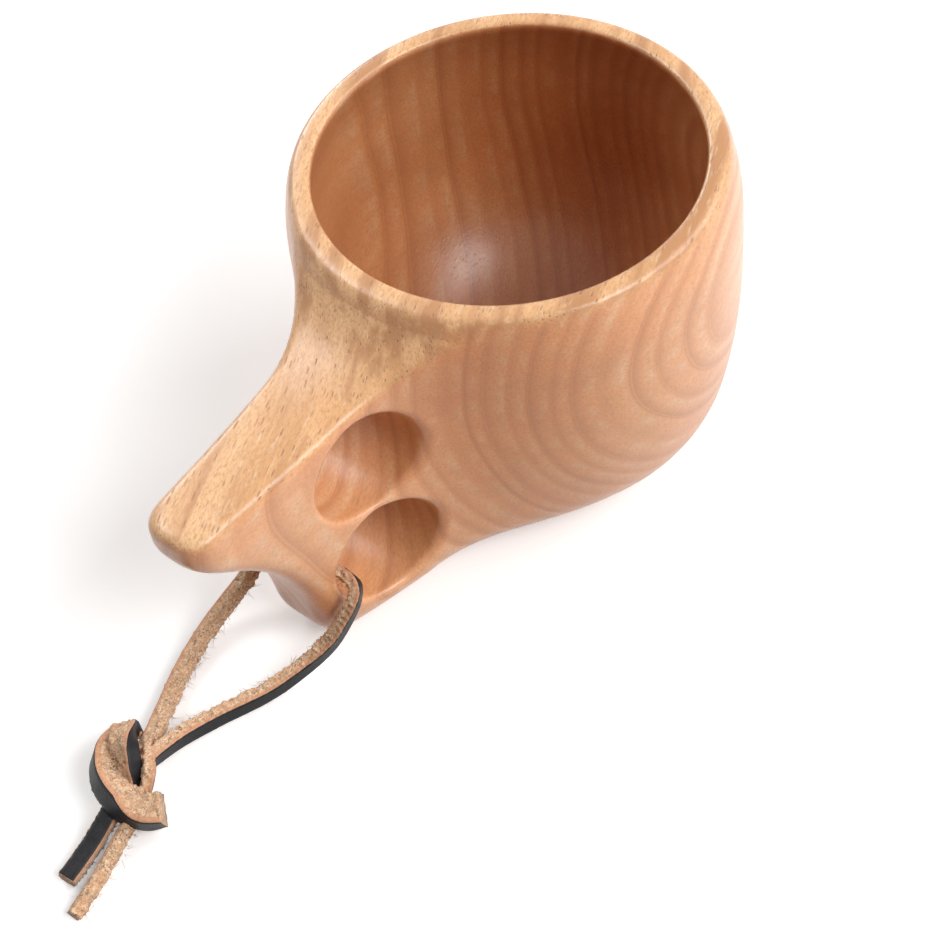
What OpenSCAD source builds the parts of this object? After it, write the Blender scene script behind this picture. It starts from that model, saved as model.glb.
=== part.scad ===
// Kuksa: a carved wooden drinking cup with a two-finger handle and a leather lace.
// Units are millimetres. The origin is the middle of the flat base, +Z is up,
// and the handle points along -X. The cup is symmetric about the plane y = 0.

/* [Cup] */
// Height from the flat base to the rim
cup_h = 62; // [50:0.5:85]
// Outer radius at the rim
rim_r = 37; // [32:0.5:46]
// Outer radius at the belly, the widest level of the bowl
belly_r = 39.1; // [33:0.1:50]
// Height of the belly
belly_z = 49; // [30:0.5:52]
// Radius that the bowl's side draws in to at the bottom, before the edge is rounded
foot_r = 32; // [28:0.2:38]
// How late the bowl's side starts to draw in below the belly (2 is even, 4 is late)
foot_power = 2.6; // [1.5:0.1:4]
// Size of the round between the bowl's side and its flat base
foot_round = 13.7; // [4:0.1:16]
// Wall at the rim
wall = 4; // [3:0.25:6]
// Wood under the inside of the cup
floor_t = 6; // [4:0.5:10]
// Height of the rounded bottom corner of the inside
inside_round = 30; // [12:1:40]

/* [Handle] */
// Half thickness of the handle under the thumb rest, before it tapers
plate_half_top = 8.8; // [7:0.2:12]
// Half thickness of the handle at the base, before it tapers
plate_half_low = 12.3; // [9:0.1:14]
// Reach of the fillet that spreads the handle into the bowl, under the thumb rest
flare_top = 17.5; // [8:0.5:30]
// Reach of the same fillet at the base
flare_low = 21; // [8:0.5:30]
// Distance from the bowl's axis to the lower end of the handle
heel_reach = 66.2; // [65:0.1:84]
// Distance from the bowl's axis to the thumb tip, before it is rounded
tip_reach = 87.2; // [82:0.1:110]
// Drop of the thumb rest below the rim
thumb_drop = 10.3; // [4:0.1:12]
// Length over which the thumb rest drops
thumb_run = 7; // [5:0.2:24]
// Roundness of the long edges of the thumb rest
thumb_round = 2.5; // [1.2:0.1:9]
// Roundness of the thumb tip's sides
nose_round = 5.6; // [2:0.1:14]
// Roundness of the handle's lower end
heel_round = 4; // [2:0.5:9]

/* [Finger holes] */
// Radius of each finger hole
finger_r = 10.2; // [8:0.1:11]
// Distance from the bowl's axis to the middle of the holes
finger_reach = 52.1; // [49:0.1:60]
// Height of the lower hole's middle
lower_hole_z = 17.1; // [16:0.1:24]
// Wood left between the two holes
finger_web = 1.5; // [1.5:0.1:6]

/* [Lace] */
// Thickness of the leather lace
lace_d = 3.2; // [2:0.1:3.6]
// Radius of the knot, seen from above
knot_r = 8.2; // [6:0.2:9]

/* [Hidden] */

// Rounding of the outer edge of the rim, and how far out the thumb rest's rounding grows to full size.
rim_round = 1.2;
thumb_round_run = 34;
// How much the thumb rest falls away sideways, and how far out this grows to its full amount.
thumb_crown = 0.008;
thumb_crown_run = 15;
// The handle gets thinner beyond this distance from the bowl's axis, more so at the base.
taper_start = 45;
taper_top = 0.07;
taper_low = 0.36;
taper_ease = 8;
// The handle's end curves out from the heel to the thumb tip, which it meets at this height.
tip_z = 43.5;
end_power = 2.74;
tip_blend = 6;
// Rounding of the handle's underside, and where along the handle it takes over from the bowl's.
under_round = 9;
under_full_x = -45;
under_blend_run = 30;
// Beyond this x no handle plate is blended into the bowl.
plate_front_x = 15;
far_away = 50;

// Levels and points of the outer skin. A point this close to it is on it.
on_skin = 0.000001;
low_levels = 20;
thumb_levels = 24;
low_share = 0.72;
low_ease = 1.35;
bowl_rays = 10;
side_rays = 12;
nose_rays = 6;
nose_reach = 7;
nose_share = 0.3;
search_steps = 26;
search_bowl = 70;
search_end = 140;

// The inside of the cup.
inside_levels = 18;
inside_power = 2.3;
lip_round = 0.8;
cut_over = 5;

// Finger holes.
upper_hole_z = lower_hole_z + 2 * finger_r + finger_web;
hole_len = 60;

// The lace lies against the handle side of the lower hole, this far clear of the wood.
lace_clear = 0.3;
lace_x = -(finger_reach + finger_r - lace_d / 2 - lace_clear);
lace_z = lower_hole_z;
lace_sides = 8;
leg_rings = 22;
// Each leg runs from the middle of the hole out of its mouth and down to the knot on the ground.
near_leg_points = [
    [lace_x, 0, lace_z], [lace_x, -5, lace_z], [lace_x - 0.3, -9.6, lace_z - 0.3], [-62.3, -10.6, 14.6],
    [-64.8, -10, 11.2], [-68.4, -8.6, 7], [-73.2, -6.4, 4], [-80, -3.7, 2.2], [-88.7, 0.2, 1.9],
    [-95.4, 2, 2.8], [-100.4, 2.2, 4.2]
];
far_leg_points = [
    [lace_x, 0, lace_z], [lace_x, 5, lace_z], [lace_x - 0.3, 9.6, lace_z - 0.3], [-62.4, 11.2, 14.4],
    [-66, 11.8, 8.8], [-71, 13.2, 5], [-77, 13.5, 2.8], [-85.3, 11.7, 2], [-93.4, 8.4, 2.3],
    [-100.6, 4.7, 4.2]
];
knot_at = [-106.8, 1.6, 5.4];
knot_half_height = 5.2;
knot_steps = 20;
long_tail_points = [
    [-107.8, -0.6, 4.2], [-112.6, -2.5, 3.2], [-118.1, -3.7, 2.1], [-123.1, -5, 1.8], [-130, -6.4, 1.7]
];
short_tail_points = [
    [-108.4, 3.2, 4.2], [-113.4, 1.5, 3], [-118.3, 0.5, 2.1], [-122.5, -0.2, 1.8], [-126.1, -0.7, 1.7]
];
tail_rings = 8;

// Two values joined with a fillet of size k: the first adds bodies, the second cuts one with the other.
function blend_min(a, b, k) = min(a, b) - pow(max(k - abs(a - b), 0), 2) / (4 * k);
function blend_max(a, b, k) = -blend_min(-a, -b, k);
function clamp01(t) = min(max(t, 0), 1);

// Outer radius of the bowl at height z.
function bowl_radius(z) =
    z < belly_z
        ? belly_r - (belly_r - foot_r) * pow(1 - z / belly_z, foot_power)
        : belly_r - (belly_r - rim_r) * pow((z - belly_z) / (cup_h - belly_z), 2);

// How far the handle reaches out from the bowl's axis at height z.
function handle_reach(z) =
    let(under_tip = heel_reach + (tip_reach - heel_reach) * pow(max(z, 0) / tip_z, end_power))
    blend_min(under_tip, tip_reach, tip_blend);

// Half thickness of the handle at x, where share runs from 0 at the base to 1 at the thumb tip's height.
function plate_half(x, share) =
    let(
        straight = plate_half_low + (plate_half_top - plate_half_low) * share,
        taper = taper_low + (taper_top - taper_low) * share,
        beyond = max(-x - taper_start, 0)
    )
    straight - taper * beyond * beyond / (beyond + taper_ease);

// Distance outside the bowl and the handle plate, which a fillet joins.
function beside(x, y, z, share) =
    let(
        plate = x > plate_front_x ? far_away : abs(y) - plate_half(x, share),
        flare = flare_low + (flare_top - flare_low) * share
    )
    blend_min(norm([x, y]) - bowl_radius(z), plate, flare);

// Height of the rim and of the thumb rest, at distance r from the bowl's axis.
function top_height(r, y) =
    let(out = max(r - rim_r, 0))
    cup_h - thumb_drop * (1 - exp(-out / thumb_run)) - thumb_crown * y * y * clamp01(out / thumb_crown_run);

// Negative inside the outer skin of the cup, zero on it and positive outside.
function skin(x, y, z) =
    let(
        r = norm([x, y]),
        share = clamp01(z / tip_z),
        end_round = heel_round + (nose_round - heel_round) * share * share,
        ended = blend_max(beside(x, y, z, share), -x - handle_reach(z), end_round),
        top_round = rim_round + (thumb_round - rim_round) * clamp01((r - rim_r) / thumb_round_run),
        topped = blend_max(ended, z - top_height(r, y), top_round),
        under_share = clamp01((x - under_full_x) / under_blend_run),
        base_round = under_round + (foot_round - under_round) * under_share
    )
    blend_max(topped, -z, base_round);

// Distance from a point inside the skin to the skin, along the direction d, between lo and hi.
function to_skin(from, d, z, lo, hi, steps) =
    let(mid = (lo + hi) / 2)
    steps == 0 ? lo
        : skin(from.x + d.x * mid, from.y + d.y * mid, z) < on_skin ? to_skin(from, d, z, mid, hi, steps - 1)
        : to_skin(from, d, z, lo, mid, steps - 1);

function skin_point(from, d, z, reach) = [each from + d * to_skin(from, d, z, 0, reach, search_steps), z];

// Half of the outline at height z, from the front of the bowl round the +Y side to the end of the handle.
function half_outline(z) =
    let(
        reach = to_skin([0, 0], [-1, 0], z, 0, search_end, search_steps),
        nose_x = -(reach - min(nose_reach, nose_share * reach))
    )
    concat(
        [for (i = [0:bowl_rays - 1]) let(a = 90 * i / bowl_rays)
            skin_point([0, 0], [cos(a), sin(a)], z, search_bowl)],
        [for (i = [0:side_rays - 1]) skin_point([nose_x * i / side_rays, 0], [0, 1], z, search_bowl)],
        [for (i = [0:nose_rays]) let(a = 90 + 90 * i / nose_rays)
            skin_point([nose_x, 0], [cos(a), sin(a)], z, search_bowl)]
    );

function outline(z) =
    let(half = half_outline(z), n = len(half))
    concat(half, [for (i = [n - 2:-1:1]) [half[i].x, -half[i].y, half[i].z]]);

// Heights of the outlines: closer together near the base, and all the way up the thumb rest.
level_heights = [
    for (k = [0:low_levels - 1]) cup_h * low_share * pow(k / low_levels, low_ease),
    for (k = [0:thumb_levels]) cup_h * (low_share + (1 - low_share) * k / thumb_levels)
];

// Faces of a stack of equal outlines, closed at both ends.
function stack_faces(rings, n) = concat(
    [[for (i = [0:n - 1]) i]],
    [for (k = [0:rings - 2], i = [0:n - 1]) let(j = (i + 1) % n, a = k * n, b = a + n) each
        [[a + i, b + i, b + j], [a + i, b + j, a + j]]],
    [[for (i = [n - 1:-1:0]) (rings - 1) * n + i]]
);

module outer_skin() {
    outlines = [for (z = level_heights) outline(z)];
    points = [for (one = outlines) each one];
    polyhedron(points = points, faces = stack_faces(len(outlines), len(outlines[0])));
}

// Radius of the inside of the cup at height z, with a rounded bottom corner.
function inside_radius(z) =
    let(
        depth = clamp01((floor_t + inside_round - z) / inside_round),
        lip = z > cup_h - lip_round ? pow((z - cup_h + lip_round) / lip_round, 2) * lip_round / 2 : 0
    )
    (bowl_radius(z) - wall + lip) * pow(1 - pow(depth, inside_power), 1 / inside_power);

function inside_z(k) = floor_t + (cup_h - floor_t) * (1 - cos(90 * k / inside_levels));

module inside() {
    side = [for (k = [0:inside_levels]) [inside_radius(inside_z(k)), inside_z(k)]];
    rotate_extrude($fn = 96)
        polygon(concat([[0, floor_t]], [for (k = [1:inside_levels]) side[k]],
            [[inside_radius(cup_h), cup_h + cut_over], [0, cup_h + cut_over]]));
}

module finger_hole(z) {
    translate([-finger_reach, 0, z])
        rotate([90, 0, 0])
            cylinder(h = hole_len, r = finger_r, center = true, $fn = 72);
}

module cup_body() {
    color("burlywood")
        difference() {
            outer_skin();
            inside();
            finger_hole(lower_hole_z);
            finger_hole(upper_hole_z);
        }
}

// A point at t (0 to 1) on a smooth curve through the route's points.
function curve_point(p, t) =
    let(
        last = len(p) - 1,
        s = min(floor(t * last), last - 1),
        u = t * last - s,
        a = p[max(s - 1, 0)],
        b = p[s],
        c = p[s + 1],
        d = p[min(s + 2, last)]
    )
    b + 0.5 * u * ((c - a) + u * ((2 * a - 5 * b + 4 * c - d) + u * (3 * b - a - 3 * c + d)));

function unit(v) = v / norm(v);

// One ring of a lace tube: the first side direction is level, the second completes the right angle.
function ring(p, t) =
    let(
        step = 0.002,
        along = unit(curve_point(p, min(t + step, 1)) - curve_point(p, max(t - step, 0))),
        across = unit(cross([0, 0, 1], along)),
        up = cross(along, across)
    )
    [for (i = [0:lace_sides - 1]) let(a = 360 * (i + 0.5) / lace_sides)
        curve_point(p, t) + lace_d / 2 * (cos(a) * across + sin(a) * up)];

module lace_tube(route, rings) {
    points = [for (k = [0:rings]) each ring(route, k / rings)];
    color("peru")
        polyhedron(points = points, faces = stack_faces(rings + 1, lace_sides));
}

module lace_near_leg() {
    lace_tube(near_leg_points, leg_rings);
}

module lace_far_leg() {
    lace_tube(far_leg_points, leg_rings);
}

// The knot is a ball that is a little flattened, drawn by turning half of its outline.
module lace_knot() {
    half_section = [
        for (k = [0:knot_steps]) let(a = 180 * k / knot_steps - 90)
            [knot_r * cos(a), knot_half_height * sin(a)]
    ];
    color("sienna")
        translate(knot_at)
            rotate_extrude($fn = 48)
                polygon(half_section);
}

module lace_tail_long() {
    lace_tube(long_tail_points, tail_rings);
}

module lace_tail_short() {
    lace_tube(short_tail_points, tail_rings);
}

cup_body();
lace_near_leg();
lace_far_leg();
lace_knot();
lace_tail_long();
lace_tail_short();
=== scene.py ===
"""The visual model of a carved wooden kuksa: turned bowl, two-hole handle and knotted leather lace.

Lengths in the shape code are millimetres, as in the CAD source, and become metres as each mesh is made.
"""
import math

import bpy
import numpy as np
from mathutils import Matrix, Vector


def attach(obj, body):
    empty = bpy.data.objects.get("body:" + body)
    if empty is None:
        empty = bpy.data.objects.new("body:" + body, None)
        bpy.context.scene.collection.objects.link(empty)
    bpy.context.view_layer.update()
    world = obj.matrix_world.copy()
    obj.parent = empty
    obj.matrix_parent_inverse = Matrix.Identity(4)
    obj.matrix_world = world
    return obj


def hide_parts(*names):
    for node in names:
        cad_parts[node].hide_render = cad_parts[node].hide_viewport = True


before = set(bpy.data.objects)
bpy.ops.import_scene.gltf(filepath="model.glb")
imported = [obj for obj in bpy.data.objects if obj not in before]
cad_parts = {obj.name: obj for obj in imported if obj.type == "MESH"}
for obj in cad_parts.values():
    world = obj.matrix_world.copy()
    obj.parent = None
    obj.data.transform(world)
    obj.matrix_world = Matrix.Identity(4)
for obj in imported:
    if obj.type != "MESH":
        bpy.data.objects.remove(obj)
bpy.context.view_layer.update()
MM = 0.001
rng = np.random.default_rng(11)

# The cup's sizes, which repeat the CAD source.
CUP_H = 62
RIM_R = 37
BELLY_R = 39.1
BELLY_Z = 49
FOOT_R = 32
FOOT_POWER = 2.6
FOOT_ROUND = 13.7
WALL = 4
FLOOR_T = 6
INSIDE_ROUND = 30
INSIDE_POWER = 2.3
PLATE_HALF_LOW = 12.3
PLATE_HALF_TOP = 8.8
FLARE_LOW = 21
FLARE_TOP = 17.5
TAPER_START = 45
TAPER_LOW = 0.36
TAPER_TOP = 0.07
TAPER_EASE = 8
HEEL_REACH = 66.2
TIP_REACH = 87.2
TIP_Z = 43.5
TIP_BLEND = 6
END_POWER = 2.74
HEEL_ROUND = 4
NOSE_ROUND = 5.6
THUMB_DROP = 10.3
THUMB_RUN = 7
THUMB_CROWN = 0.008
THUMB_CROWN_RUN = 15
THUMB_ROUND = 2.5
THUMB_ROUND_RUN = 34
RIM_ROUND = 1.2
UNDER_ROUND = 9
UNDER_FULL_X = -45
UNDER_BLEND_RUN = 30
PLATE_FRONT_X = 15
FINGER_X = -52.1
FINGER_R = 10.2
FINGER_Z = (17.1, 39)

# How far the visual model eases the rim's crease, the bowl's lip and the holes' edges.
RIM_EASE = 1.2
LIP_EASE = 1.5
HOLE_EASE = 1.6

# Where the thumb rest starts to drop from the rim, over what run, and a distance outside any plate.
DROP_BEFORE = 2
DROP_RUN = 4
NO_PLATE = 50

# The grid that the cup's surface is found on, and how the points then settle on that surface.
NET_STEP = 0.55
NET_LOW = (-89.3, -41.2, -1.1)
NET_HIGH = (41, 41, 64)
SETTLE_ROUNDS = 4
SETTLE_MOST = 0.5
LEAST_SLOPE_SQUARED = 0.05

# The lace's routes, which repeat the CAD source. HOLE_EXIT is in metres.
NEAR_LEG = [
    (-60.4, 0, 17.1), (-60.4, -5, 17.1), (-60.7, -9.6, 16.8), (-62.3, -10.6, 14.6), (-64.8, -10, 11.2),
    (-68.4, -8.6, 7), (-73.2, -6.4, 4), (-80, -3.7, 2.2), (-88.7, 0.2, 1.9), (-95.4, 2, 2.8),
    (-100.4, 2.2, 4.2),
]
FAR_LEG = [
    (-60.4, 0, 17.1), (-60.4, 5, 17.1), (-60.7, 9.6, 16.8), (-62.4, 11.2, 14.4), (-66, 11.8, 8.8),
    (-71, 13.2, 5), (-77, 13.5, 2.8), (-85.3, 11.7, 2), (-93.4, 8.4, 2.3), (-100.6, 4.7, 4.2),
]


# ---------------------------------------------------------------- camera and stage

AZIMUTH, ELEVATION, ROLL = (math.radians(angle) for angle in (-43.1, 51.0, -9.9))
CAMERA_PLACE = (-0.1958, -0.1857, 0.3163)
LENS = 85.5
SENSOR_WIDTH = 36

# Each lamp's name, place, two sides and watts. They all face LAMP_TARGET.
LAMP_TARGET = (0, 0, 0.03)
LAMPS = [
    ("key", (0.72, -0.74, 0.82), (0.9, 0.9), 11),
    ("front", (0, -0.95, 0.93), (0.6, 0.6), 10),
    ("back", (-0.1, 0.8, 0.95), (0.6, 0.5), 5.5),
    ("far", (0.45, 1.05, 0.5), (0.4, 0.4), 4),
]

# The world and the floor look white to the lens. Other rays find them dimmer and warmer.
WHITE = (1, 1, 1, 1)
WORLD_COLOUR = (1, 0.94, 0.87, 1)
WORLD_STRENGTH = 0.12
FLOOR_SIDE = 8
FLOOR_SEEN = (0.9, 0.9, 0.905, 1)
FLOOR_GLOW = 0.3
FLOOR_UNSEEN = (0.42, 0.36, 0.31, 1)


def make_camera():
    """A long lens on the handle's near side, looking 51 degrees down, with ten degrees of roll."""
    across = math.cos(ELEVATION)
    back = Vector((math.sin(AZIMUTH) * across, -math.cos(AZIMUTH) * across, math.sin(ELEVATION)))
    level = Vector((math.cos(AZIMUTH), math.sin(AZIMUTH), 0))
    right = level * math.cos(ROLL) + back.cross(level) * math.sin(ROLL)
    up = back.cross(right)
    data = bpy.data.cameras.new("camera")
    data.lens = LENS
    data.sensor_width = SENSOR_WIDTH
    data.clip_start = 0.01
    camera = bpy.data.objects.new("camera", data)
    turn = Matrix((right, up, back)).transposed().to_4x4()
    camera.matrix_world = Matrix.Translation(Vector(CAMERA_PLACE)) @ turn
    bpy.context.collection.objects.link(camera)
    bpy.context.scene.camera = camera


def area_light(name, place, sides, watts):
    data = bpy.data.lights.new(name, "AREA")
    data.shape = "RECTANGLE"
    data.size, data.size_y = sides
    data.energy = watts
    lamp = bpy.data.objects.new(name, data)
    lamp.location = place
    lamp.rotation_euler = (Vector(LAMP_TARGET) - Vector(place)).to_track_quat("-Z", "Y").to_euler()
    bpy.context.collection.objects.link(lamp)


def seen_by_lens(nodes, links):
    """One where a ray comes straight from the lens, or by a mirror or glass."""
    path = nodes.new("ShaderNodeLightPath")
    total = path.outputs["Is Camera Ray"]
    for other in ("Is Glossy Ray", "Is Transmission Ray"):
        most = nodes.new("ShaderNodeMath")
        most.operation = "MAXIMUM"
        links.new(total, most.inputs[0])
        links.new(path.outputs[other], most.inputs[1])
        total = most.outputs[0]
    return total


def lens_mix(nodes, links, unseen, seen, surface):
    """Joins the two shaders to the output's surface socket: seen for the lens, unseen for all other rays."""
    mix = nodes.new("ShaderNodeMixShader")
    links.new(seen_by_lens(nodes, links), mix.inputs[0])
    links.new(unseen, mix.inputs[1])
    links.new(seen, mix.inputs[2])
    links.new(mix.outputs[0], surface)


def make_world():
    world = bpy.data.worlds.new("studio")
    bpy.context.scene.world = world
    world.use_nodes = True
    nodes, links = world.node_tree.nodes, world.node_tree.links
    nodes.clear()
    out = nodes.new("ShaderNodeOutputWorld")
    dim = nodes.new("ShaderNodeBackground")
    dim.inputs["Color"].default_value = WORLD_COLOUR
    dim.inputs["Strength"].default_value = WORLD_STRENGTH
    white = nodes.new("ShaderNodeBackground")
    white.inputs["Color"].default_value = WHITE
    white.inputs["Strength"].default_value = 1
    lens_mix(nodes, links, dim.outputs[0], white.outputs[0], out.inputs[0])


def floor_material():
    """White with a soft shadow for the lens. The glow lifts the white to the picture's edges."""
    material = bpy.data.materials.new("floor")
    material.use_nodes = True
    nodes, links = material.node_tree.nodes, material.node_tree.links
    shader = nodes["Principled BSDF"]
    shader.inputs["Base Color"].default_value = FLOOR_SEEN
    shader.inputs["Roughness"].default_value = 0.9
    glow = nodes.new("ShaderNodeEmission")
    glow.inputs["Strength"].default_value = FLOOR_GLOW
    dull = nodes.new("ShaderNodeBsdfDiffuse")
    dull.inputs["Color"].default_value = FLOOR_UNSEEN
    add = nodes.new("ShaderNodeAddShader")
    links.new(shader.outputs[0], add.inputs[0])
    links.new(glow.outputs[0], add.inputs[1])
    lens_mix(nodes, links, dull.outputs[0], add.outputs[0], nodes["Material Output"].inputs[0])
    return material


def make_stage():
    """Four softboxes, a world, and a floor that keeps the cup's soft shadow."""
    bpy.context.scene.view_settings.view_transform = "Standard"
    for lamp in LAMPS:
        area_light(*lamp)
    make_world()
    bpy.ops.mesh.primitive_plane_add(size=FLOOR_SIDE, location=(0, 0, 0))
    floor = bpy.context.object
    floor.name = "floor"
    floor.data.materials.append(floor_material())


# ---------------------------------------------------------------- the cup's shape

def clamp01(t):
    return np.clip(t, 0, 1)


def unit(v):
    return v / np.linalg.norm(v, axis=-1, keepdims=True)


def blend_min(a, b, width):
    """The smaller of a and b, rounded where they are less than width apart."""
    return np.minimum(a, b) - np.maximum(width - np.abs(a - b), 0) ** 2 / (4 * width)


def blend_max(a, b, width):
    return -blend_min(-a, -b, width)


def bowl_radius(z):
    """The bowl's outside radius, largest at the belly."""
    low = BELLY_R - (BELLY_R - FOOT_R) * np.maximum(1 - z / BELLY_Z, 0) ** FOOT_POWER
    high = BELLY_R - (BELLY_R - RIM_R) * np.maximum((z - BELLY_Z) / (CUP_H - BELLY_Z), 0) ** 2
    return np.where(z < BELLY_Z, low, high)


def plate_half(x, share):
    """Half of the handle's thickness, share of the way up to the tip. It tapers towards its end."""
    straight = PLATE_HALF_LOW + (PLATE_HALF_TOP - PLATE_HALF_LOW) * share
    taper = TAPER_LOW + (TAPER_TOP - TAPER_LOW) * share
    beyond = np.maximum(-x - TAPER_START, 0)
    return straight - taper * beyond ** 2 / (beyond + TAPER_EASE)


def handle_reach(z):
    """How far behind the bowl's axis the handle reaches: from the heel, curving out to the tip."""
    under_tip = HEEL_REACH + (TIP_REACH - HEEL_REACH) * (np.maximum(z, 0) / TIP_Z) ** END_POWER
    return blend_min(under_tip, TIP_REACH, TIP_BLEND)


def top_height(r, y):
    """Height of the rim and the thumb rest. The crease where the thumb rest leaves the rim is eased."""
    past = r - RIM_R
    out = (past + np.sqrt(past ** 2 + RIM_EASE ** 2)) / 2
    drop = THUMB_DROP * (1 - np.exp(-out / THUMB_RUN)) * clamp01((past + DROP_BEFORE) / DROP_RUN)
    return CUP_H - drop - THUMB_CROWN * y ** 2 * clamp01(past / THUMB_CROWN_RUN)


def outside(x, y, z):
    """Below zero within the uncut block: bowl, handle plate and thumb rest, each blended into the next."""
    r = np.hypot(x, y)
    share = clamp01(z / TIP_Z)
    plate = np.where(x > PLATE_FRONT_X, NO_PLATE, np.abs(y) - plate_half(x, share))
    side = blend_min(r - bowl_radius(z), plate, FLARE_LOW + (FLARE_TOP - FLARE_LOW) * share)
    ended = blend_max(side, -x - handle_reach(z), HEEL_ROUND + (NOSE_ROUND - HEEL_ROUND) * share ** 2)
    top_round = RIM_ROUND + (THUMB_ROUND - RIM_ROUND) * clamp01((r - RIM_R) / THUMB_ROUND_RUN)
    topped = blend_max(ended, z - top_height(r, y), top_round)
    base_round = UNDER_ROUND + (FOOT_ROUND - UNDER_ROUND) * clamp01((x - UNDER_FULL_X) / UNDER_BLEND_RUN)
    return blend_max(topped, -z, base_round)


def hollow(x, y, z):
    """Below zero within the drinking space: straight-sided above, a superellipse below."""
    wide = bowl_radius(z) - WALL
    depth = clamp01((FLOOR_T + INSIDE_ROUND - z) / INSIDE_ROUND)
    below = np.maximum(FLOOR_T - z, 0)
    ratio = (np.hypot(x, y) / wide) ** INSIDE_POWER + depth ** INSIDE_POWER
    return (ratio ** (1 / INSIDE_POWER) - 1) * wide + below


def wood(x, y, z):
    """Below zero within the finished wood."""
    body = blend_max(outside(x, y, z), -hollow(x, y, z), LIP_EASE)
    for hole_z in FINGER_Z:
        body = blend_max(body, FINGER_R - np.hypot(x - FINGER_X, z - hole_z), HOLE_EASE)
    return body


def slope(points, reach=0.02):
    """The gradient of wood() at points of shape (n, 3)."""
    found = np.empty_like(points)
    for axis in range(3):
        step = np.zeros(3)
        step[axis] = reach
        found[:, axis] = (wood(*(points + step).T) - wood(*(points - step).T)) / (2 * reach)
    return found


def neighbours(axis, margin):
    """Two indices that pair each grid value with the next along axis, margin values in from other edges."""
    first = [slice(margin, -margin or None)] * 3
    last = list(first)
    first[axis], last[axis] = slice(0, -1), slice(1, None)
    return tuple(first), tuple(last)


def cell_crossings(value):
    """How many of each grid cell's edges the surface crosses, and the sum of those places in the cell."""
    counts = value.shape
    hits = np.zeros([n - 1 for n in counts], np.int16)
    total = np.zeros([n - 1 for n in counts] + [3], np.float32)
    for axis in range(3):
        first, last = neighbours(axis, 0)
        a, b = value[first], value[last]
        crossed = (a < 0) != (b < 0)
        at = np.where(crossed, a / np.where(crossed, a - b, 1), 0)
        others = [i for i in range(3) if i != axis]
        for shift in ((0, 0), (0, 1), (1, 0), (1, 1)):
            pick = [slice(None)] * 3
            for other, off in zip(others, shift):
                pick[other] = slice(off, counts[other] - 1 + off)
            here = crossed[tuple(pick)]
            hits += here
            total[..., axis] += np.where(here, at[tuple(pick)], 0)
            for other, off in zip(others, shift):
                total[..., other] += here * off
    return hits, total


def edge_quads(value, number):
    """A quad of cell numbers round each grid edge that the surface crosses, facing out of the wood."""
    quads = []
    for axis in range(3):
        first, last = neighbours(axis, 1)
        a, b = value[first] < 0, value[last] < 0
        others = [(axis + 1) % 3, (axis + 2) % 3]
        for crossed, order in ((a & ~b, (0, 1, 2, 3)), (b & ~a, (3, 2, 1, 0))):
            at = np.argwhere(crossed) + 1
            at[:, axis] -= 1
            corners = []
            for off in ((-1, -1), (0, -1), (0, 0), (-1, 0)):
                cell = at.copy()
                cell[:, others] += off
                corners.append(number[tuple(cell.T)])
            quads.append(np.stack([corners[i] for i in order], 1))
    return np.concatenate(quads)


def surface_net(low, high, step):
    """Points and quads of wood()'s surface, one point in each grid cell that the surface crosses."""
    counts = [int((high[i] - low[i]) / step) + 2 for i in range(3)]
    xs, ys, zs = (low[i] + step * np.arange(counts[i]) for i in range(3))
    value = np.empty(counts, np.float32)
    for i, x in enumerate(xs):
        value[i] = wood(x, ys[:, None], zs[None, :])
    hits, total = cell_crossings(value)
    used = hits > 0
    number = np.full(hits.shape, -1, np.int64)
    number[used] = np.arange(used.sum())
    points = np.array(low) + step * (np.argwhere(used) + total[used] / hits[used][:, None])
    return points, edge_quads(value, number)


def settled(points):
    """The points moved onto wood()'s surface."""
    for _ in range(SETTLE_ROUNDS):
        grad = slope(points)
        size = np.maximum((grad ** 2).sum(1), LEAST_SLOPE_SQUARED)
        move = np.clip(wood(*points.T) / size, -SETTLE_MOST, SETTLE_MOST)
        points = points - grad * move[:, None]
    return points


def mesh_object(name, points, faces, normals=None):
    """A smooth-shaded mesh object from points in millimetres."""
    mesh = bpy.data.meshes.new(name)
    mesh.from_pydata((np.asarray(points) * MM).tolist(), [], [list(map(int, f)) for f in faces])
    mesh.validate()
    mesh.shade_smooth()
    if normals is not None:
        mesh.normals_split_custom_set_from_vertices(normals.tolist())
    obj = bpy.data.objects.new(name, mesh)
    bpy.context.collection.objects.link(obj)
    return obj


def make_cup():
    points, quads = surface_net(NET_LOW, NET_HIGH, NET_STEP)
    points = settled(points)
    return mesh_object("kuksa_wood", points, quads, unit(slope(points)))


# ---------------------------------------------------------------- leather strips

# The looks that leather has, a strip's four sides in order, and how lumpy each look is.
LOOKS = ("grain", "edge", "flesh")
SIDE_LOOKS = ("grain", "edge", "flesh", "edge")
ROUGHNESS = {"grain": 0.04, "edge": 0.45, "flesh": 1.0}

# Steps along a route, for a strip's rings, a cord's path and a length. CURVE_CUTS is per route point.
STRIP_STEP = 0.25
PATH_STEP = 1.0
LENGTH_STEP = 0.2
CURVE_CUTS = 40

# A strip's rounded corners, points on each side, smooth part of a cut edge, and run of its pinch.
STRIP_ROUND = 0.45
SIDE_POINTS = 10
EDGE_BAND = 0.75
PINCH_RUN = 15

# The two sizes of lump on rough leather: height, waves in a millimetre, and seed.
LUMP_SIZES = ((0.7, 0.5, 3), (0.8, 1.2, 4))
LUMP_WAVES = 18
LUMP_PHASE = 6.28

# The loose fibres: their places along a strip, number, rings, curl, taper, and lowest height.
LOOSE_STEP = 0.5
LOOSE_PER_MM = 3
LOOSE_RINGS = 4
LOOSE_SIDES = 3
LOOSE_CURL = 0.6
LOOSE_TAPER = 0.7
LOOSE_LOWEST = 0.15


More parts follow.
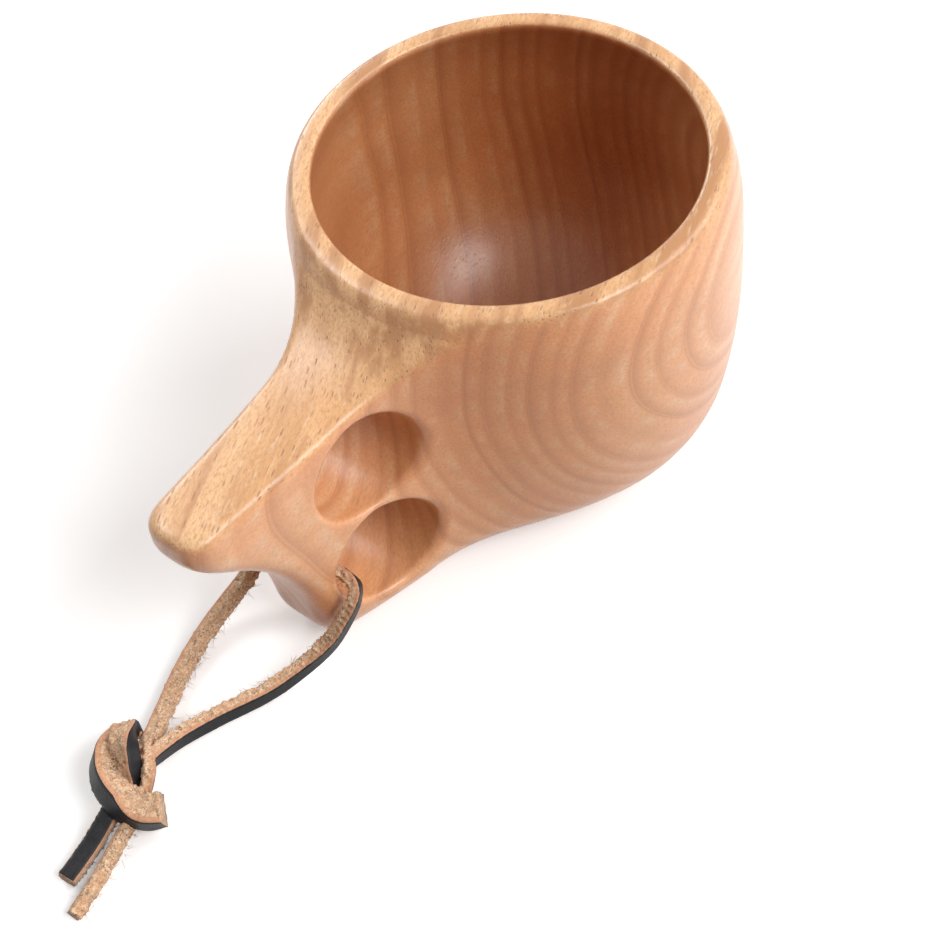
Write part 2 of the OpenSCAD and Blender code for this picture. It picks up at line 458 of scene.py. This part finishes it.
def smooth_route(points, step=STRIP_STEP):
    """Catmull-Rom through the points, cut at even steps."""
    p = np.array(points, float)
    p = np.vstack([2 * p[0] - p[1], p, 2 * p[-1] - p[-2]])
    t = np.linspace(0, 1, CURVE_CUTS, endpoint=False)[:, None]
    fine = []
    for a, b, c, d in zip(p, p[1:], p[2:], p[3:]):
        bend = (2 * a - 5 * b + 4 * c - d) * t ** 2
        twist = (3 * b - a - 3 * c + d) * t ** 3
        fine.append(0.5 * (2 * b + (c - a) * t + bend + twist))
    fine = np.vstack(fine + [p[-2][None]])
    gone = np.concatenate([[0], np.cumsum(np.linalg.norm(np.diff(fine, axis=0), axis=1))])
    at = np.linspace(0, gone[-1], max(int(gone[-1] / step), 4) + 1)
    return np.stack([np.interp(at, gone, fine[:, i]) for i in range(3)], 1)


def path_of(route):
    return (smooth_route(route, PATH_STEP) * MM).tolist()


def route_length(route):
    """The route's length in metres."""
    line = smooth_route(route, LENGTH_STEP)
    return float(np.linalg.norm(np.diff(line, axis=0), axis=1).sum()) * MM


def turned_frame(line, grain_ways):
    """Unit vectors along the line, out of its grain side and across it, from ways spread evenly along it."""
    along = np.linspace(0, 1, len(line))
    picks = np.linspace(0, 1, len(grain_ways))
    ways = np.array(grain_ways, float)
    raw = np.stack([np.interp(along, picks, ways[:, i]) for i in range(3)], 1)
    ahead = unit(np.gradient(line, axis=0))
    out = unit(raw - (raw * ahead).sum(1, keepdims=True) * ahead)
    return ahead, out, np.cross(out, ahead)


def rounded(point, half):
    """A point on the outline of a rectangle of these half sizes, moved onto its rounded corner."""
    inner = np.clip(point, STRIP_ROUND - half, half - STRIP_ROUND)
    off = point - inner
    length = np.linalg.norm(off)
    return inner + (off / length * STRIP_ROUND if length > STRIP_ROUND else off)


def strip_section(wide, thick):
    """A rounded rectangle as (across, out) points, with the look of the face that follows each point.

    The grain side is at out = thick / 2. A cut edge turns fibrous like the flesh beyond EDGE_BAND from it.
    """
    half = np.array([wide, thick]) / 2
    corners = np.array([(1, 1), (-1, 1), (-1, -1), (1, -1)]) * half
    section, looks = [], []
    for i, look in enumerate(SIDE_LOOKS):
        start, end = corners[i], corners[(i + 1) % 4]
        for j in range(SIDE_POINTS):
            section.append(rounded(start + (end - start) * j / SIDE_POINTS, half))
            from_grain = thick * (j if i == 1 else SIDE_POINTS - 1 - j) / SIDE_POINTS
            fibrous = look == "edge" and from_grain >= EDGE_BAND
            looks.append("flesh" if fibrous else look)
    return np.array(section), looks


def swept(section, across, out):
    """The (across, out) section set up at every point of a line, as an array of rings."""
    return section[None, :, :1] * across[:, None] + section[None, :, 1:] * out[:, None]


def lumps(points, scale, seed):
    """Smooth noise of about -1 to 1, from plane waves in many directions."""
    waves = np.random.default_rng(seed)
    total = np.zeros(len(points))
    for _ in range(LUMP_WAVES):
        way = unit(waves.normal(size=3)) * scale * waves.uniform(0.6, 1.8)
        total += np.sin(points @ way * 2 * math.pi + waves.uniform(0, LUMP_PHASE))
    return total / math.sqrt(LUMP_WAVES / 2)


def section_roughness(looks):
    """Each section point's roughness: its own face's, but at least an edge's where flesh comes before it."""
    before = [looks[-1]] + looks[:-1]
    return np.array([max(ROUGHNESS[look], ROUGHNESS["edge"] if last == "flesh" else 0)
                     for look, last in zip(looks, before)])


def strip_faces(ring_count, looks):
    """Quads round the strip and a fan on each end, with each face's look.

    The two points in the middle of the ends are numbered after all of the rings.
    """
    sides = len(looks)
    faces, face_looks = [], []
    for ring in range(0, (ring_count - 1) * sides, sides):
        for j, look in enumerate(looks):
            k = (j + 1) % sides
            faces.append((ring + j, ring + k, ring + sides + k, ring + sides + j))
            face_looks.append(look)
    last_ring = (ring_count - 1) * sides
    start_point = ring_count * sides
    for j in range(sides):
        k = (j + 1) % sides
        faces.append((start_point, k, j))
        faces.append((start_point + 1, last_ring + j, last_ring + k))
        face_looks += ["flesh", "flesh"]
    return faces, face_looks


def leather_object(name, points, faces, looks):
    """A piece of the lace with these leathers as its materials."""
    obj = mesh_object(name, points, faces)
    for look in looks:
        obj.data.materials.append(LEATHER[look])
    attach(obj, "lace")
    return obj


def make_strip(name, route, grain_ways, wide=3.1, thick=2.6, fray=0.12, pinch=0.0):
    """A leather strip along the route, its black grain side turned to grain_ways at even steps along it.

    Its start is thinner by the share pinch, where it is pulled tight over the edge of the hole.
    """
    line = smooth_route(route)
    _, out, across = turned_frame(line, grain_ways)
    section, looks = strip_section(wide, thick)
    gone = np.arange(len(line)) * STRIP_STEP
    full = 1 - pinch * np.exp(-(gone / PINCH_RUN) ** 4)
    rings = line[:, None] + full[:, None, None] * swept(section, across, out)
    points = rings.reshape(-1, 3)
    push = swept(unit(section * [1 / wide, 1 / thick]), across, out).reshape(-1, 3)
    rough = np.tile(section_roughness(looks), len(line))
    bumps = sum(height * lumps(points, scale, seed) for height, scale, seed in LUMP_SIZES)
    points = points + push * (bumps * fray * rough)[:, None]
    points = np.vstack([points, line[:1], line[-1:]])
    faces, face_looks = strip_faces(len(line), looks)
    obj = leather_object(name, points, faces, LOOKS)
    obj.data.polygons.foreach_set("material_index", [LOOKS.index(look) for look in face_looks])
    return obj


def random_fibre(line, ahead, out, across):
    """The root, way, curl, length and half thickness of one loose fibre on a flesh corner."""
    i = int(rng.integers(3, len(line) - 1))
    side = across[i] * rng.choice([-1, 1])
    root = line[i] + side * rng.uniform(1.0, 1.6) - out[i] * rng.uniform(1.0, 1.4)
    way = unit(side * rng.uniform(0.2, 1) - out[i] * rng.uniform(0.1, 1) + ahead[i] * rng.normal(0, 1.0))
    return root, way, rng.normal(0, 0.5, 3), rng.uniform(0.5, 1.5), rng.uniform(0.035, 0.08)


def fibre_points(root, way, curl, length, thick):
    """Rings along a fibre that curls and thins towards its tip and stays above the floor."""
    a = unit(np.cross(way, [0.3, 0.5, 0.8]))
    b = np.cross(way, a)
    points = []
    for k in range(LOOSE_RINGS):
        share = k / (LOOSE_RINGS - 1)
        centre = root + way * length * share + curl * length * share * share * LOOSE_CURL
        centre[2] = max(centre[2], LOOSE_LOWEST)
        reach = thick * (1 - LOOSE_TAPER * share)
        for m in range(LOOSE_SIDES):
            turn = 2 * math.pi * m / LOOSE_SIDES
            points.append(centre + (a * math.cos(turn) + b * math.sin(turn)) * reach)
    return points


def fibre_faces(start):
    """The faces of a fibre whose points are numbered from start."""
    faces = []
    for k in range(LOOSE_RINGS - 1):
        low = start + LOOSE_SIDES * k
        high = low + LOOSE_SIDES
        for m in range(LOOSE_SIDES):
            n = (m + 1) % LOOSE_SIDES
            faces.append((low + m, low + n, high + n, high + m))
    tip = start + LOOSE_SIDES * (LOOSE_RINGS - 1)
    faces.append((start + 2, start + 1, start))
    faces.append((tip, tip + 1, tip + 2))
    return faces


def make_fibres(name, strips):
    """Short loose fibres that stand off the flesh side's corners of each (route, grain_ways) strip."""
    points, faces = [], []
    for route, grain_ways in strips:
        line = smooth_route(route, LOOSE_STEP)
        ahead, out, across = turned_frame(line, grain_ways)
        for _ in range(int(LOOSE_PER_MM * LOOSE_STEP * len(line))):
            faces += fibre_faces(len(points))
            points += fibre_points(*random_fibre(line, ahead, out, across))
    return leather_object(name, points, faces, ("flesh",))


# ---------------------------------------------------------------- material nodes

UP = (0, 0, 1)


class Graph:
    """Short calls for building one material's nodes, whose values are numbers, colours or sockets."""

    def __init__(self, name):
        self.material = bpy.data.materials.new(name)
        self.material.use_nodes = True
        self.tree = self.material.node_tree
        self.shader = self.tree.nodes["Principled BSDF"]

    def node(self, kind, **settings):
        made = self.tree.nodes.new("ShaderNode" + kind)
        for key, value in settings.items():
            setattr(made, key, value)
        return made

    def put(self, value, socket):
        if isinstance(value, bpy.types.NodeSocket):
            self.tree.links.new(value, socket)
        else:
            socket.default_value = value

    def set_shader(self, values):
        for name, value in values.items():
            self.put(value, self.shader.inputs[name])

    def coordinates(self, kind):
        return self.node("TexCoord").outputs[kind]

    def math(self, operation, a, b=0.0):
        made = self.node("Math", operation=operation)
        self.put(a, made.inputs[0])
        self.put(b, made.inputs[1])
        return made.outputs[0]

    def vector(self, operation, a, b=(0, 0, 0)):
        made = self.node("VectorMath", operation=operation)
        self.put(a, made.inputs[0])
        self.put(b, made.inputs[1])
        return made.outputs["Value"] if operation in ("DOT_PRODUCT", "LENGTH") else made.outputs[0]

    def noise(self, where, scale, detail, rough, distort=0.0, colour=False):
        made = self.node("TexNoise")
        self.put(where, made.inputs["Vector"])
        made.inputs["Scale"].default_value = scale
        made.inputs["Detail"].default_value = detail
        made.inputs["Roughness"].default_value = rough
        made.inputs["Distortion"].default_value = distort
        return made.outputs["Color" if colour else "Fac"]

    def line_noise(self, w, scale, detail):
        made = self.node("TexNoise", noise_dimensions="1D")
        self.put(w, made.inputs["W"])
        made.inputs["Scale"].default_value = scale
        made.inputs["Detail"].default_value = detail
        return made.outputs["Fac"]

    def ramp(self, value, stops, interpolation):
        """A grey level for the value, from (value, level) stops."""
        made = self.node("ValToRGB")
        made.color_ramp.interpolation = interpolation
        while len(made.color_ramp.elements) < len(stops):
            made.color_ramp.elements.new(0.5)
        for element, (at, level) in zip(made.color_ramp.elements, stops):
            element.position = at
            element.color = (level, level, level, 1)
        self.put(value, made.inputs[0])
        return made.outputs[0]

    def span(self, value, low, high, to_low=0.0, to_high=1.0):
        """The value's place from low to high, as a number from to_low to to_high that goes no further."""
        made = self.node("MapRange", clamp=True)
        names = ("Value", "From Min", "From Max", "To Min", "To Max")
        for name, given in zip(names, (value, low, high, to_low, to_high)):
            self.put(given, made.inputs[name])
        return made.outputs[0]

    def mix(self, share, a, b, blend="MIX"):
        made = self.node("Mix", data_type="RGBA", blend_type=blend)
        self.put(share, made.inputs[0])
        self.put(a if isinstance(a, bpy.types.NodeSocket) else (*a, 1), made.inputs[6])
        self.put(b if isinstance(b, bpy.types.NodeSocket) else (*b, 1), made.inputs[7])
        return made.outputs[2]

    def stain(self, base, mask, strength, colour):
        """The base with some of the colour where the mask is one."""
        return self.mix(self.math("MULTIPLY", mask, strength), base, colour)

    def shade(self, base, mask, tint):
        """The base, multiplied by the tint where the mask is one."""
        return self.mix(mask, base, self.mix(1.0, base, tint, blend="MULTIPLY"))

    def cells(self, where, scale, feature):
        made = self.node("TexVoronoi", feature=feature)
        self.put(where, made.inputs["Vector"])
        made.inputs["Scale"].default_value = scale
        return made

    def bump(self, height, distance, strength=1.0):
        made = self.node("Bump")
        made.inputs["Distance"].default_value = distance
        made.inputs["Strength"].default_value = strength
        self.put(height, made.inputs["Height"])
        return made.outputs[0]


# ---------------------------------------------------------------- wood

# The log: its fibres' direction, and where its pith passes the cup, in metres.
LOG_TURN_DEG = 24
LOG_COS, LOG_SIN = math.cos(math.radians(LOG_TURN_DEG)), math.sin(math.radians(LOG_TURN_DEG))
ALONG = (LOG_COS, LOG_SIN, 0)
ACROSS = (LOG_SIN, -LOG_COS, 0)
PITH_ACROSS = 0.064
PITH_Z = 0.0436
WANDER = (0.007, 0.007, 0.007)

# A year's mean width, how much the widths vary and how fast, and the pace of the change between years.
YEAR_WIDTH = 0.0034
WIDTH_CHANGE = 0.004
WIDTH_PACE = 120
YEAR_PACE = 7.3

PALE = (0.88, 0.57, 0.32)
HONEY = (0.82, 0.46, 0.22)
CREAM = (0.93, 0.74, 0.52)
SIDE_PALE = (0.88, 0.46, 0.235)
SIDE_ROSY = (0.82, 0.385, 0.19)
TAN = (0.50, 0.25, 0.12)
AMBER = (0.60, 0.29, 0.11)
RUST = (0.46, 0.18, 0.09)
RUST_STREAK = (0.50, 0.23, 0.10)
PORE = (0.26, 0.10, 0.04)
# The next two are painted shade, for the inside of the bowl and the finger holes' walls. The last is the end
# grain's own darker tone.
INSIDE_PAINTED_SHADE = (0.64, 0.55, 0.45)
HOLE_PAINTED_SHADE = (0.84, 0.79, 0.72)
END_TINT = (0.86, 0.70, 0.56)

# How dense the wood is through one year, and where in the year it is palest.
LATE_WOOD = (
    (0.0, 0.2), (0.1, 0), (0.5, 0.12), (0.76, 0.75), (0.84, 1), (0.89, 0.4), (0.95, 0.85), (1.0, 0.2),
)
EARLY_WOOD = ((0.0, 0), (0.2, 1), (0.6, 0.2), (0.8, 0))

# Noises drawn out along the fibres: how much of their pace they keep that way, scale, detail and roughness.
GRAIN_NOISES = {
    "bands": (0.05, 170, 3, 0.6),
    "cloud": (0.4, 38, 2, 0.5),
    "fine": (0.12, 1500, 2, 0.6),
    "fleck": (0.4, 2400, 2, 0.7),
    "streak": (0.05, 260, 2, 0.5),
    "shine": (0.2, 1100, 2, 0.6),
}
VESSEL_PACE = 0.16
VESSEL_SCALE = 1500

# Bounds for telling the surfaces apart, in metres, and for how far they face up or along the fibres.
TOP_RISE = (0.044, 0.049)
TOP_FACING = (0.3, 0.65)
END_FACING = (0.72, 0.98)
INSIDE_FACING = (-0.5, -0.3)
LIP_RISE = (0.0618, 0.0598)
INSIDE_REACH = 0.0358
INSIDE_LOW_REACH = 0.022
INSIDE_SPREAD = 1.1
INSIDE_EDGE = 0.0006
HOLE_REACH = (0.0106, 0.0102)
WOOD_RELIEF = 0.00008


def log_axes(g, place):
    """Distances along the fibres, across them and up, which wander a little as a tree's do."""
    wander = g.noise(place, 22, 1.5, 0.45, colour=True)
    wander = g.vector("MULTIPLY", g.vector("SUBTRACT", wander, (0.5, 0.5, 0.5)), WANDER)
    bent = g.vector("ADD", place, wander)
    return [g.vector("DOT_PRODUCT", bent, axis) for axis in (ALONG, ACROSS, UP)]


def growth_year(g, across, rise):
    """The place in the year, from 0 to 1, and how dark its late wood is, which differs between years."""
    aside = g.math("SUBTRACT", across, PITH_ACROSS)
    height = g.math("SUBTRACT", rise, PITH_Z)
    squares = g.math("ADD", g.math("MULTIPLY", aside, aside), g.math("MULTIPLY", height, height))
    radius = g.math("SQRT", squares)
    uneven = g.math("MULTIPLY", g.line_noise(radius, WIDTH_PACE, 1), WIDTH_CHANGE)
    years = g.math("DIVIDE", g.math("ADD", radius, uneven), YEAR_WIDTH)
    year = g.math("FRACT", years)
    strength = g.line_noise(g.math("FLOOR", years), YEAR_PACE, 0)
    late = g.ramp(year, LATE_WOOD, "LINEAR")
    return year, g.math("MULTIPLY", late, g.span(strength, 0.35, 0.65, 0.3, 1.0))


def drawn_noise(g, grain, pace, scale, detail, rough):
    """Noise drawn out along the fibres."""
    return g.noise(g.vector("MULTIPLY", grain, (pace, 1, 1)), scale, detail, rough)


def side_wood(g, noises, year, late):
    """The rosy sides, with pale early wood and rust-brown late wood."""
    colour = g.mix(g.span(noises["cloud"], 0.3, 0.7), SIDE_PALE, SIDE_ROSY)
    early = g.ramp(year, EARLY_WOOD, "EASE")
    early = g.math("MULTIPLY", early, g.span(noises["streak"], 0.4, 0.62))
    colour = g.stain(colour, early, 0.36, CREAM)
    return g.stain(colour, late, 0.52, RUST)


def top_wood_and_painted_sheen(g, noises):
    """The golden top faces, with streaks and flecks. Their paler colour is partly painted sheen, as are the
    cream shine spots.
    """
    colour = g.mix(g.span(noises["cloud"], 0.3, 0.7), PALE, HONEY)
    colour = g.stain(colour, g.span(noises["bands"], 0.4, 0.66), 0.5, AMBER)
    colour = g.stain(colour, g.span(noises["streak"], 0.48, 0.62), 0.85, RUST_STREAK)
    colour = g.stain(colour, g.span(noises["shine"], 0.58, 0.74), 0.4, CREAM)
    return g.stain(colour, g.span(noises["fleck"], 0.52, 0.68), 0.5, AMBER)


def vessel_pores(g, grain, bands, top):
    """One in the open vessels: thin dark dashes along the fibres, most of them on the top faces."""
    vessel = g.cells(g.vector("MULTIPLY", grain, (VESSEL_PACE, 1, 1)), VESSEL_SCALE, "F1")
    pore = g.span(vessel.outputs["Distance"], 0.16, 0.30, 1.0, 0.0)
    few = g.node("SeparateColor")
    g.put(vessel.outputs["Color"], few.inputs[0])
    chance = g.math("MULTIPLY", g.span(bands, 0.3, 0.6, 0.4, 1.0), g.span(few.outputs[0], 0.3, 0.5))
    pore = g.math("MULTIPLY", pore, chance)
    return g.math("MULTIPLY", pore, g.span(top, 0.0, 1.0, 0.25, 1.0))


def in_bowl(g, place, facing):
    """One on the drinking side of the bowl, below the lip and within the wall, where painted shade goes."""
    reach = g.vector("LENGTH", g.vector("MULTIPLY", place, (1, 1, 0)))
    rise = g.vector("DOT_PRODUCT", place, UP)
    cone = g.math("ADD", g.math("MULTIPLY", rise, INSIDE_SPREAD), INSIDE_LOW_REACH)
    wall = g.math("MINIMUM", cone, INSIDE_REACH)
    within = g.span(g.math("SUBTRACT", wall, reach), 0.0, INSIDE_EDGE)
    below_lip = g.span(rise, *LIP_RISE)
    return g.math("MULTIPLY", g.math("MULTIPLY", within, below_lip), g.span(facing, *INSIDE_FACING))


def in_holes(g, place):
    """One on the walls of the finger holes, where painted shade goes."""
    found = 0.0
    for hole_z in FINGER_Z:
        off = g.vector("SUBTRACT", place, (FINGER_X * MM, 0, hole_z * MM))
        reach = g.vector("LENGTH", g.vector("MULTIPLY", off, (1, 0, 1)))
        found = g.math("MAXIMUM", found, g.span(reach, *HOLE_REACH))
    return found


def wood_material():
    """Growth layers round a distant pith, soft fibre streaks and dark vessels, under satin lacquer.

    The top faces are cut along the vessels and look dotted, and are paler and golden partly as painted
    sheen.
    The sides are rosier and plainer. The bowl's inside and the finger holes' walls get painted shade.
    """
    g = Graph("kuksa_wood")
    place, normal = g.coordinates("Object"), g.coordinates("Normal")
    facing = g.vector("DOT_PRODUCT", normal, UP)
    high = g.span(g.vector("DOT_PRODUCT", place, UP), *TOP_RISE)
    top = g.math("MULTIPLY", g.span(facing, *TOP_FACING), high)
    along, across, rise = log_axes(g, place)
    year, late = growth_year(g, across, rise)
    axes = g.node("CombineXYZ")
    for value, socket in zip((along, across, rise), axes.inputs):
        g.put(value, socket)
    grain = axes.outputs[0]
    noises = {name: drawn_noise(g, grain, *sizes) for name, sizes in GRAIN_NOISES.items()}

    # Faces turned up get the golden top colour, which is partly painted sheen.
    base = g.mix(top, side_wood(g, noises, year, late), top_wood_and_painted_sheen(g, noises))
    base = g.stain(base, g.span(noises["bands"], 0.45, 0.7), 0.2, TAN)
    base = g.stain(base, g.span(noises["fleck"], 0.40, 0.66), 0.4, TAN)
    pore = vessel_pores(g, grain, noises["bands"], top)
    base = g.stain(base, pore, 0.55, PORE)
    # Painted shade: the inside of the bowl is darkened as if shade lay in it.
    base = g.shade(base, in_bowl(g, place, facing), INSIDE_PAINTED_SHADE)
    # Painted shade: the finger holes' walls are darkened as if shade lay in them.
    base = g.shade(base, in_holes(g, place), HOLE_PAINTED_SHADE)
    end_on = g.math("ABSOLUTE", g.vector("DOT_PRODUCT", normal, ALONG))
    base = g.shade(base, g.span(end_on, *END_FACING), END_TINT)

    satin = g.span(noises["fine"], 0.3, 0.7, 0.28, 0.36)
    relief = g.math("SUBTRACT", g.math("MULTIPLY", noises["fine"], 0.4), pore)
    g.set_shader({
        "Base Color": base,
        "Roughness": g.math("ADD", satin, g.math("MULTIPLY", pore, 0.2)),
        "Specular IOR Level": 0.45,
        "Coat Weight": 0.22,
        "Coat Roughness": 0.27,
        "Subsurface Weight": 0.06,
        "Subsurface Radius": (0.0016, 0.0008, 0.0004),
        "Subsurface Scale": 1.0,
        "Normal": g.bump(relief, WOOD_RELIEF),
    })
    return g.material


# ---------------------------------------------------------------- leather

BLACK_LOW, BLACK_HIGH = (0.004, 0.004, 0.005), (0.014, 0.014, 0.017)
FLESH_COLOURS = {"pale": (0.95, 0.73, 0.50), "mid": (0.71, 0.39, 0.21), "dark": (0.26, 0.09, 0.035)}
EDGE_COLOURS = {"pale": (0.72, 0.41, 0.25), "mid": (0.62, 0.32, 0.18), "dark": (0.42, 0.19, 0.10)}


def black_leather():
    """The smooth dyed grain side, with fine creases."""
    g = Graph("leather_grain")
    place = g.coordinates("Object")
    creases = g.cells(place, 2200, "DISTANCE_TO_EDGE")
    cloud = g.noise(place, 500, 3, 0.6)
    height = g.span(creases.outputs["Distance"], 0.0, 0.1)
    g.set_shader({
        "Base Color": g.mix(g.span(cloud, 0.35, 0.7), BLACK_LOW, BLACK_HIGH),
        "Roughness": g.span(cloud, 0.3, 0.7, 0.36, 0.5),
        "Specular IOR Level": 0.25,
        "Normal": g.bump(height, 0.00003, 0.6),
    })
    return g.material


def fibrous_leather(look, colours, roughness, relief):
    """The undyed flesh side, or the cut edge, in clumps of pale and dark fibres."""
    g = Graph("leather_" + look)
    place = g.coordinates("Object")
    fibre = g.noise(place, 1500, 4, 0.7, 1.6)
    clump = g.noise(place, 520, 3, 0.6, 0.6)
    colour = g.mix(g.span(fibre, 0.36, 0.62), colours["dark"], colours["pale"])
    colour = g.mix(g.span(clump, 0.4, 0.65, 0.0, 0.6), colour, colours["mid"])
    g.set_shader({
        "Base Color": colour,
        "Roughness": roughness,
        "Specular IOR Level": 0.25,
        "Sheen Weight": 0.25,
        "Sheen Roughness": 0.5,
        "Normal": g.bump(fibre, relief, 0.9),
    })
    return g.material


# ---------------------------------------------------------------- the lace's strips

# Where the legs run on into the knot, beyond the CAD's routes.
NEAR_END = [(-103.4, 1.9, 5.1), (-105.6, 1, 4.8)]
FAR_END = [(-103.4, 4.6, 5)]
NEAR_WAYS = [
    (1, 0, 0), (0.9, -0.2, 0.3), (0.4, -0.9, 0.3), (0.2, -1, 0.15), (0, -1, 0.05), (-0.2, -0.9, 0),
    (-0.4, -0.9, 0.05), (-0.5, -0.85, 0.08), (-0.5, -0.85, 0.08), (-0.4, -0.9, 0),
]
FAR_WAYS = [
    (1, 0, 0), (1, 0, 0), (0.9, 0.5, 0.1), (0.5, 0.9, 0), (0, 1, -0.2), (-0.1, 1, -0.3),
    (-0.2, 1, -0.2), (-0.3, 0.95, -0.2), (-0.3, 0.95, -0.3), (-0.3, 0.9, -0.4),
]

# The knot is a wide wrap round two strands that dive into it.
KNOT_WRAP = [
    (-102.4, 7.4, 5.6), (-104, 8, 5.8), (-106.2, 7.8, 5.8), (-108.4, 6.2, 5.6), (-110, 3.6, 5.4),
    (-110.8, 0.6, 5.2), (-110.8, -2.2, 5), (-110, -4.7, 5), (-108.2, -6.5, 5.2),
]
WRAP_WAYS = [
    (-0.4, 0.9, 0.1), (-0.7, 0.7, 0.2), (-0.85, 0.4, 0.35), (-0.9, 0.1, 0.4), (-0.85, -0.2, 0.4),
    (-0.75, -0.5, 0.35), (-0.75, -0.5, 0.1), (-0.85, -0.4, -0.15), (-0.9, -0.3, -0.35),
]
KNOT_OVER = [
    (-100.4, 9, 3.6), (-101, 9.1, 5.2), (-102.2, 8, 7), (-103.6, 6.2, 8.4), (-105, 4.2, 8.2),
    (-106.2, 2.8, 6.8), (-107.1, 1.8, 5), (-108, 1, 3.2),
]
OVER_WAYS = [
    (0.9, -0.4, -0.4), (0.9, -0.4, -0.4), (0.85, -0.5, -0.15), (0.6, -0.7, 0.3), (0.4, -0.65, 0.65),
    (0.3, -0.6, 0.75), (0.3, -0.6, 0.75), (0.3, -0.6, 0.75),
]
KNOT_UNDER = [
    (-101.2, 4, 4.6), (-102.2, 2.8, 5.8), (-103.2, 1.4, 6.6), (-104.5, -0.2, 6.8), (-105.9, -1.1, 6.2),
    (-107, -1.2, 4.8), (-108.2, -0.8, 3.2),
]
UNDER_WAYS = [
    (0.6, -0.3, -0.7), (0.6, -0.4, -0.7), (0.6, -0.5, -0.6), (0.7, -0.5, -0.5), (0.6, -0.6, -0.5),
    (0.5, -0.6, -0.6), (0.5, -0.6, -0.6),
]
TAIL_SHORT = [
    (-109.8, 2.6, 3.6), (-113.4, 1.5, 3), (-118.3, 0.5, 2.1), (-122.5, -0.2, 1.8), (-126.1, -0.7, 1.7),
]
TAIL_LONG = [
    (-109.6, -1.2, 3.8), (-112.6, -2.5, 3.2), (-118.1, -3.7, 2.1), (-123.1, -5, 1.8), (-130, -6.4, 1.7),
]
SHORT_WAYS = [(0, -0.2, 1), (0, -0.2, 1)]
LONG_WAYS = [(-0.3, 0.6, -0.7), (-0.3, 0.6, -0.7)]


# ---------------------------------------------------------------- the assembly

make_camera()
LEATHER = {
    "grain": black_leather(),
    "edge": fibrous_leather("edge", EDGE_COLOURS, 0.75, 0.00008),
    "flesh": fibrous_leather("flesh", FLESH_COLOURS, 0.92, 0.00022),
}

near_route = NEAR_LEG + NEAR_END
far_route = FAR_LEG + FAR_END
near_leg = make_strip("lace_near_strip", near_route, NEAR_WAYS, thick=2.5, pinch=0.2)
far_leg = make_strip("lace_far_strip", far_route, FAR_WAYS, wide=2.7, pinch=0.15)
wrap = make_strip("lace_knot_wrap", KNOT_WRAP, WRAP_WAYS, wide=4.4, thick=5.4, fray=0.17)
over = make_strip("lace_knot_over", KNOT_OVER, OVER_WAYS, wide=3, thick=4.2, fray=0.17)
under = make_strip("lace_knot_under", KNOT_UNDER, UNDER_WAYS, wide=2.1, thick=2.1)
tail_short = make_strip("lace_tail_dark", TAIL_SHORT, SHORT_WAYS, thick=2.8)
tail_long = make_strip("lace_tail_pale", TAIL_LONG, LONG_WAYS, wide=2.4, thick=2, fray=0.1)
fibres = make_fibres("lace_fibres", [
    (NEAR_LEG, NEAR_WAYS), (FAR_LEG, FAR_WAYS), (KNOT_WRAP, WRAP_WAYS),
    (KNOT_OVER, OVER_WAYS), (TAIL_LONG, LONG_WAYS), (TAIL_SHORT, SHORT_WAYS),
])

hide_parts("lace_near_leg")
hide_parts("lace_far_leg")
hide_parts("lace_knot")
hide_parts("lace_tail_short")
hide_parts("lace_tail_long")
route_length(near_route)
path_of(near_route)
route_length(far_route)
path_of(far_route)

cup = make_cup()
cup.data.materials.append(wood_material())
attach(cup, "cup")
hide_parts("cup_body")

make_stage()
